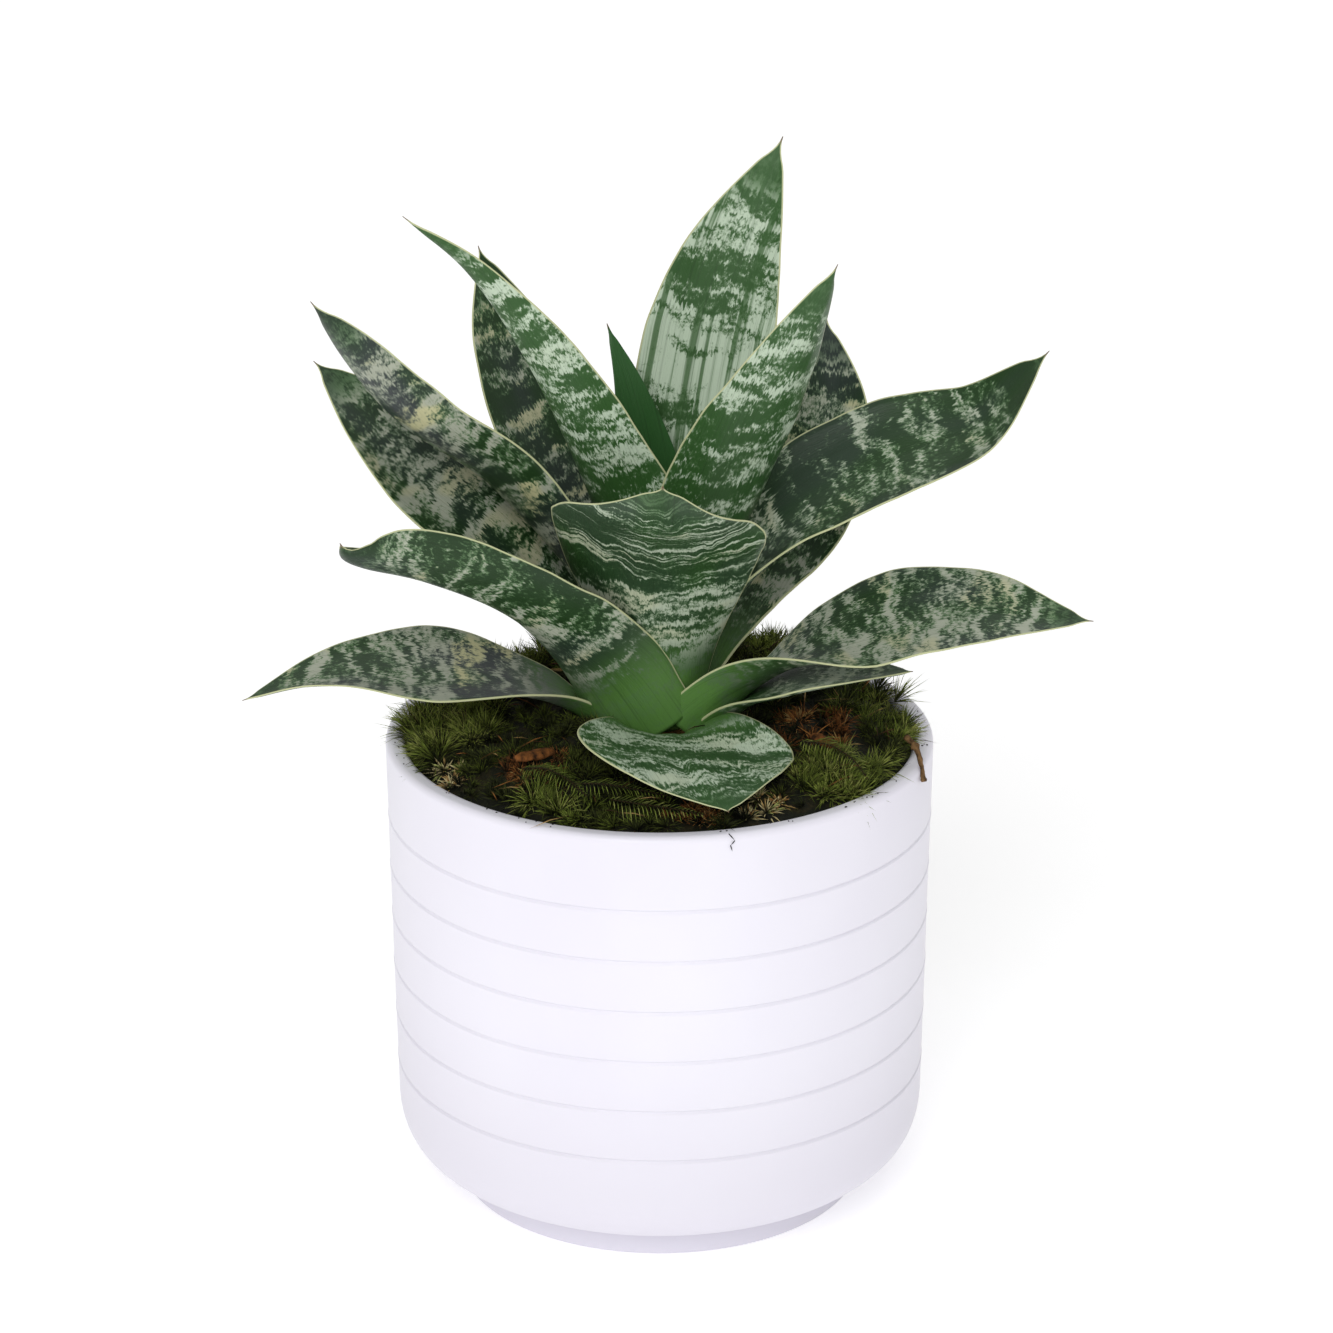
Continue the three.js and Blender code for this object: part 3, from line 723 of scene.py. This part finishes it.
def make_leaf(name, leaf, seed, finish):
    """One whole blade along its midrib, closed all round. Hands back its points and faces."""
    share = np.linspace(0, 1, LEAF_STEPS + 1)
    line, length = curve_through(leaf["midrib"], LEAF_STEPS + 1)
    forward = unit(np.gradient(line, axis=0))
    bearing = math.radians(leaf["bearing"])
    sideways = np.array([-math.sin(bearing), math.cos(bearing), 0])
    flat = unit(sideways - forward * (forward @ sideways)[:, None])
    up = np.cross(forward, flat)
    roll = np.radians(along(share, leaf["roll"]))[:, None]
    across = flat * np.cos(roll) - up * np.sin(roll)
    up = up * np.cos(roll) + flat * np.sin(roll)
    channel = np.radians(along(share, leaf["channel"]))
    half = half_width(leaf, share)
    fining = np.clip((1 - share) / TIP_SHARE, 0, 1) ** TIP_FINING
    half = np.minimum(half, half * fining + TIP_LEAST_WIDTH)
    thick = blend(BASE_THICKNESS, TIP_THICKNESS, share) * np.maximum(fining, TIP_LEAST_THICKNESS)

    face = np.linspace(-1, 1, LEAF_STRIPS + 1)
    ring = [(u, 1) for u in face] + [(1, 0)] + [(u, -1) for u in face[::-1]] + [(-1, 0)]
    points = np.zeros((LEAF_STEPS + 1, len(ring), 3))
    blade = np.zeros_like(points)
    zone = np.zeros_like(points)
    for step in range(LEAF_STEPS + 1):
        distance = share[step] * length
        fullness = min(1, half[step] / FULL_HALF_WIDTH)
        for place, (u, side) in enumerate(ring):
            depth = thick[step] * (1 - MARGIN_THINNING * u * u)
            width = half[step] * (1 + MARGIN_RAGGED * rough(distance, u * 9, seed * 7, 6))
            if side == 0:
                width += depth * MARGIN_ROUND
            turn = channel[step] * u
            sway = SWAY * u * u * rough(distance, u * 20, seed * 5, 16) * fullness
            pleat = FINE_PLEAT * rough(u * half[step], distance * 0.05, seed * 3, 2.6)
            pleat += BROAD_PLEAT * rough(u * half[step], distance * 0.1, seed * 9, 8)
            pleat *= (1 - u * u) * fullness
            side_way = width * math.sin(turn) / channel[step] - side * depth * math.sin(turn) / 2
            lift = width * (1 - math.cos(turn)) / channel[step] + side * depth * math.cos(turn) / 2
            points[step, place] = line[step] + across[step] * side_way + up[step] * (lift + sway + pleat)
            blade[step, place] = (u * half[step], distance, seed)
            zone[step, place, :2] = (share[step], (1 - abs(u)) * half[step])
    columns = len(ring)
    faces = grid_faces(LEAF_STEPS + 1, columns, wrap=True)
    uvs = []
    for step in range(LEAF_STEPS):
        for place in range(columns):
            left, right = place / columns, (place + 1) / columns
            low, high = share[step], share[step + 1]
            uvs += [(left, low), (right, low), (right, high), (left, high)]
    start = list(range(columns))
    end = [LEAF_STEPS * columns + place for place in reversed(range(columns))]
    faces += [start[::-1], end[::-1]]
    uvs += [(0.001 * place / columns, 0.0) for place in range(2 * columns)]
    marks_and_shade = np.tile(MARKINGS_AND_SHADE[name], (points.shape[0] * columns, 1))
    attributes = {"blade": blade.reshape(-1, 3), "zone": zone.reshape(-1, 3), "marks_and_shade": marks_and_shade}
    piece("banded_" + name, points.reshape(-1, 3), faces, finish, name, uvs, attributes)
    return points.reshape(-1, 3), faces


# ---------------------------------------------------------------- moss
def moss_height(rise, radius, bearing):
    """Height of a cushion that stands this far above the rim."""
    share = (radius - MOSS_INNER_RADIUS) / (MOSS_OUTER_RADIUS - MOSS_INNER_RADIUS)
    x, y = around(radius, bearing)
    lumps = 3.2 * rough(x, y, 3, 15) + 2.4 * rough(x, y, 8, 6)
    return POT_HEIGHT + rise * (1 - share**3) - MOSS_SINK + lumps * (1 - 0.5 * share)


class Sprigs:
    """Fine moss needles, gathered up and then made into one mesh."""

    def __init__(self, seed, leaves):
        self.chance = random.Random(seed)
        self.leaves = leaves
        self.needles = []

    def direction(self, lean, spread):
        """A random way out, about the direction of lean."""
        scatter = Vector([self.chance.gauss(0, spread) for _ in range(3)])
        return (Vector(lean).normalized() + scatter).normalized()

    def needle(self, start, way, length, width, tint, droop=0.25):
        """Adds a needle, unless the straight line from its root to its tip meets a leaf."""
        line = way * length - Vector((0, 0, droop * length))
        if self.leaves.ray_cast(Vector(start), line, line.length)[0] is None:
            self.needles.append((*start, *(way * length), droop * length, width, tint))

    def tuft(self, start, lean, kind):
        """A spray of needles from one root."""
        size = self.chance.uniform(*kind["length"])
        tint = self.chance.choice(kind["tints"])
        for _ in range(NEEDLES):
            way = self.direction(lean, kind["spread"])
            length = size * self.chance.uniform(0.45, 1)
            root = Vector(start) + way * self.chance.uniform(0, size * 0.3)
            step = self.chance.choice((-1, 0, 0, 0, 1))
            width = self.chance.uniform(*kind["width"])
            self.needle(root, way, length, width, max(0, tint + step), self.chance.uniform(0.05, 0.4))

    def feather(self, points, reach, tint):
        """A stem with fine leaflets to either side, longest near its foot, like a comb."""
        line, length = curve_through(points, FEATHER_STEPS + 1)
        forward = unit(np.gradient(line, axis=0))
        for step in range(FEATHER_STEPS):
            share = step / FEATHER_STEPS
            way = Vector(forward[step])
            self.needle(line[step], way, 1.3 * length / FEATHER_STEPS, STEM_WIDTH, 9, droop=0)
            side = way.cross(Vector((0, 0, 1))).normalized()
            leaflet = reach * (1 - share) ** 0.6 * min(1, share * 4 + 0.4)
            for hand in (-1, 1):
                lift = Vector((0, 0, self.chance.uniform(0.1, 0.4)))
                out = (side * hand + way * 0.5 + lift).normalized()
                shade = tint + self.chance.choice((-1, 0, 1))
                reached = leaflet * self.chance.uniform(0.7, 1.15)
                self.needle(line[step], out, reached, LEAFLET_WIDTH, shade, 0.4)

    def mesh(self):
        """Closed three-sided needles: their points, faces, map places and attributes."""
        table = np.array(self.needles)
        start, way, droop, width, tint = np.split(table, (3, 6, 7, 8), axis=1)
        tint = tint[:, 0]
        down = np.array([0, 0, -1.0])
        side = unit(np.cross(way, np.array([0.31, 0.17, 1])))
        other = unit(np.cross(way, side))
        rings = []
        for share, size in ((0, 0.8), (0.5, 1)):
            middle = start + way * share + down * droop * share * share
            for angle in (0, 2 * math.pi / 3, 4 * math.pi / 3):
                rings.append(middle + (side * math.cos(angle) + other * math.sin(angle)) * width * size / 2)
        rings.append(start + way + down * droop)
        points = np.stack(rings, axis=1)
        shape = [(0, 2, 1), (0, 1, 4, 3), (1, 2, 5, 4), (2, 0, 3, 5), (3, 4, 6), (4, 5, 6), (5, 3, 6)]
        firsts = range(0, 7 * len(table), 7)
        faces = [tuple(first + corner for corner in face) for first in firsts for face in shape]
        heights = [0, 0, 0, 0.5, 0.5, 0.5, 1]
        spots = [(0.2, 0.02), (0.4, 0.02), (0.6, 0.02), (0.2, 0.5), (0.4, 0.5), (0.6, 0.5), (0.4, 0.97)]
        corners = np.array([spots[corner] for face in shape for corner in face])
        uvs = np.tile(corners, (len(table), 1))
        uvs[:, 0] = 0.5 + (np.repeat(tint, len(corners)) + uvs[:, 0]) / (2 * len(MOSS_TINTS))
        sprig = np.ones((len(table), 7, 3))
        sprig[:, :, 1] = (tint / (len(MOSS_TINTS) - 1))[:, None]
        sprig[:, :, 2] = heights
        return points.reshape(-1, 3), faces, uvs, sprig.reshape(-1, 3)


def moss_mat(cushion):
    """The lumpy mat under the needles: a closed slab bent round the ring inside the pot."""
    bearings = np.radians(np.linspace(cushion["from"] - 0.4, cushion["until"] + 0.4, MAT_ACROSS))
    radii = np.linspace(MOSS_INNER_RADIUS, MOSS_OUTER_RADIUS, MAT_OUT)
    top = []
    for bearing in bearings:
        for radius in radii:
            top.append((*around(radius, bearing), moss_height(cushion["rise"], radius, bearing)))
    top = np.array(top)
    bottom = top.copy()
    bottom[:, 2] = POT_HEIGHT - MAT_DEPTH
    faces = slab_faces(MAT_ACROSS, MAT_OUT)
    spots = []
    for row in range(MAT_ACROSS):
        spots += [(0.48 * row / MAT_ACROSS, out / MAT_OUT) for out in range(MAT_OUT)]
    uvs = [spots[corner % len(top)] for face in faces for corner in face]
    return np.vstack([top, bottom]), faces, uvs


def moss_kind(x, y):
    """Which kind of moss grows at a place."""
    edge = 1 + 0.35 * rough(x, y, 30, 6)
    for centre_x, centre_y, reach, kind in MOSS_PATCHES:
        if math.hypot(x - centre_x, y - centre_y) < reach * edge:
            return kind
    return "green"


def make_cushion(name, cushion, seed, finish, leaves):
    """A mat with its tufts and dry straws, bright tufts over the rim, crumbs on it and feathers."""
    sprigs = Sprigs(seed, leaves)
    chance = sprigs.chance
    for _ in range(TUFTS):
        radius = math.sqrt(chance.uniform(MOSS_INNER_RADIUS**2, (MOSS_OUTER_RADIUS - 1) ** 2))
        bearing = math.radians(chance.uniform(cushion["from"], cushion["until"]))
        height = moss_height(cushion["rise"], radius, bearing) - 0.6
        x, y = around(radius, bearing)
        lean = (chance.uniform(-0.7, 0.7), chance.uniform(-0.9, 0.4), 1)
        sprigs.tuft((x, y, height), lean, MOSS_KINDS[moss_kind(x, y)])
        if chance.random() < STRAW_SHARE:
            way = sprigs.direction((chance.uniform(-1, 1), chance.uniform(-1, 1), 0.25), 0.1)
            length = chance.uniform(6, 13)
            tint = chance.choice((9, 10, 12, 13))
            sprigs.needle((x, y, height + 3), way, length, STRAW_WIDTH, tint, 0.2)
    for _ in range(cushion["rim"]):
        bearing = math.radians(chance.uniform(cushion["from"], cushion["until"]))
        x, y = math.cos(bearing), math.sin(bearing)
        radius = MOSS_OUTER_RADIUS - chance.uniform(1, 5)
        start = (radius * x, radius * y, POT_HEIGHT + chance.uniform(0, 2))
        sprigs.tuft(start, (x * 0.5, y * 0.5, 0.7), MOSS_KINDS["bright"])
    for _ in range(RIM_CRUMBS):
        bearing = math.radians(chance.uniform(cushion["from"], cushion["until"]))
        radius = RIM_RADIUS - chance.uniform(1.6, WALL - 1)
        way = Vector((chance.uniform(-1, 1), chance.uniform(-1, 1), 0)).normalized()
        length = chance.uniform(0.3, 1)
        width = chance.uniform(0.3, 0.5)
        tint = chance.choice((0, 1, 9))
        sprigs.needle((*around(radius, bearing), POT_HEIGHT + 0.15), way, length, width, tint, 0)
    for points, reach, tint in cushion.get("feathers", ()):
        sprigs.feather(points, reach, tint)
    mat_points, mat_faces, mat_uvs = moss_mat(cushion)
    points, faces, uvs, sprig = sprigs.mesh()
    faces = mat_faces + [tuple(corner + len(mat_points) for corner in face) for face in faces]
    attributes = {"sprig": np.vstack([np.zeros_like(mat_points), sprig])}
    uvs = np.vstack([mat_uvs, uvs])
    piece("tufted_" + name, np.vstack([mat_points, points]), faces, finish, name, uvs, attributes)


def make_frond(finish, leaves):
    """The comb-like frond that lies on the moss at the front, and a hair that hangs over the rim."""
    sprigs = Sprigs(FROND_SEED, leaves)
    sprigs.feather(FROND, 10, 7)
    for here, there in zip(HAIR, HAIR[1:]):
        sprigs.needle(here, Vector(there) - Vector(here), 1, HAIR_WIDTH, 0, droop=0)
    points, faces, uvs, sprig = sprigs.mesh()
    attributes = {"sprig": sprig}
    piece("comb_moss_frond", points, faces, finish, "feathery_moss_frond", uvs, attributes)


# ---------------------------------------------------------------- bark and twig
def make_twig(finish):
    """A thin stick over the rim, with two knots and uneven bark."""
    line, length = curve_through(TWIG, TWIG_STEPS)
    forward = unit(np.gradient(line, axis=0))
    points = []
    for step, (middle, way) in enumerate(zip(line, forward)):
        share = step / (len(line) - 1)
        side = Vector(way).cross(Vector((0, 0, 1))).normalized()
        other = Vector(way).cross(side)
        knot = sum(tall * math.exp(-(((share - at) / spread) ** 2)) for at, spread, tall in TWIG_KNOTS)
        for corner in range(TWIG_SIDES):
            angle = 2 * math.pi * corner / TWIG_SIDES
            radius = blend(*TWIG_RADIUS, share) + knot
            radius += TWIG_BARK * rough(corner, share * length, 0, 1.7)
            points.append(Vector(middle) + (side * math.cos(angle) + other * math.sin(angle)) * radius)
    faces = [face[::-1] for face in grid_faces(TWIG_STEPS, TWIG_SIDES, wrap=True)]
    faces.append(tuple(range(TWIG_SIDES)))
    last = (TWIG_STEPS - 1) * TWIG_SIDES
    faces.append(tuple(last + corner for corner in reversed(range(TWIG_SIDES))))
    piece("knotted_twig", [tuple(p) for p in points], faces, finish, "twig_on_rim")


def make_chip(name, chip, finish):
    """A ragged flake of bark, curved across and grooved along its grain."""
    length, width, thick = chip["size"]
    turn = math.radians(chip["turn"])
    layers = []
    for side in (1, -1):
        for row in range(CHIP_STEPS):
            for column in range(CHIP_STEPS):
                u = 2 * row / (CHIP_STEPS - 1) - 1
                v = 2 * column / (CHIP_STEPS - 1) - 1
                x = u * length / 2
                y = v * width / 2 * (1 - CHIP_TAPER * u * u) * (1 + 0.25 * rough(x, side, 0, 2))
                edge = (1 - u**6) * (1 - v**6)
                z = side * thick / 2 * (CHIP_EDGE + (1 - CHIP_EDGE) * edge)
                z += CHIP_WARP * math.cos(1.4 * v)
                z += CHIP_GRAIN * rough(x * 0.3, y, side, 0.8)
                turned_x = x * math.cos(turn) - y * math.sin(turn)
                turned_y = x * math.sin(turn) + y * math.cos(turn)
                layers.append((turned_x, turned_y, z))
    points = np.array(layers) + np.array(chip["at"])
    faces = slab_faces(CHIP_STEPS, CHIP_STEPS)
    piece("flaked_" + name, points, faces, finish, name)


# ---------------------------------------------------------------- the whole plant
make_pot()
grown_leaf = leaf_finish("banded leaf", "335a29", "1d3a17")
young_leaf = leaf_finish("young leaf", "33602f", "33602f")
blade_corners = []
blade_faces = []
for order, (name, leaf) in enumerate(LEAVES.items()):
    seed = LEAF_SEED + LEAF_SEED_STEP * order
    if name == "young_centre_leaf":
        finish, slot = young_leaf, "young_leaf"
    else:
        finish, slot = grown_leaf, "leaf"
    points, faces = make_leaf(name, leaf, seed, finish)
    blade_faces += [tuple(corner + len(blade_corners) for corner in face) for face in faces]
    blade_corners += points.tolist()
leaves = BVHTree.FromPolygons(blade_corners, blade_faces)
moss = moss_finish()
for order, (name, cushion) in enumerate(MOSS.items()):
    make_cushion(name, cushion, CUSHION_SEED + order, moss, leaves)
make_frond(moss, leaves)
bark = wood_finish("bark", "26160a", "8a5528")
make_twig(wood_finish("twig wood", "2a1c10", "8a6a45"))
for name, chip in BARK.items():
    make_chip(name, chip, bark)
hidden = {"potting_soil": soil_finish(), "root_crown": wood_finish("root crown", "6b4a22", "c09a5c")}
for name, finish in hidden.items():
    bpy.data.objects[name].data.materials.clear()
    bpy.data.objects[name].data.materials.append(finish)

# ---------------------------------------------------------------- floor, light and camera
WHITE = (1, 1, 1, 1)
FLOOR_REACH = 15  # metres
FLOOR_GLOW = 0.36
SKY_STRENGTH = 0.45
CAMERA_PLACE = (0.0019, -1.13, 0.585)  # metres
CAMERA_PITCH = 21.05  # degrees down from level

floor_mesh = bpy.data.meshes.new("studio_floor")
floor_corners = [(x * FLOOR_REACH, y * FLOOR_REACH, 0) for x, y in ((-1, -1), (1, -1), (1, 1), (-1, 1))]
floor_mesh.from_pydata(floor_corners, [], [(0, 1, 2, 3)])
floor_finish = new_finish("studio floor")
floor_finish.surface(
    Base_Color=(0.85, 0.85, 0.85, 1),
    Roughness=0.9,
    Emission_Color=WHITE,
    Emission_Strength=FLOOR_GLOW,
)
floor_mesh.materials.append(floor_finish.owner)
floor = bpy.data.objects.new("studio_floor", floor_mesh)
scene.collection.objects.link(floor)

world = bpy.data.worlds.new("studio")
scene.world = world
sky = Finish(world)
background = sky.node("Background", {}, {"Color": WHITE, "Strength": SKY_STRENGTH})
sky.node("OutputWorld", {}, {"Surface": background})


def sun(name, towards, strength, softness):
    """A soft sun that shines from the direction given."""
    light = bpy.data.lights.new(name, "SUN")
    light.energy = strength
    light.angle = math.radians(softness)
    lamp = bpy.data.objects.new(name, light)
    lamp.rotation_euler = Vector(towards).to_track_quat("Z", "Y").to_euler()
    scene.collection.objects.link(lamp)


sun("key_light", (-0.2, -1.0, 0.7), 1.35, 35)
sun("top_light", (0.1, 0.5, 1.0), 0.5, 60)

camera_data = bpy.data.cameras.new("camera")
camera_data.sensor_width = 36
camera_data.lens = 120
camera_data.clip_end = 100
camera = bpy.data.objects.new("camera", camera_data)
camera.location = CAMERA_PLACE
camera.rotation_euler = (math.radians(90 - CAMERA_PITCH), 0, 0)
scene.collection.objects.link(camera)
scene.camera = camera
scene.view_settings.view_transform = "Standard"
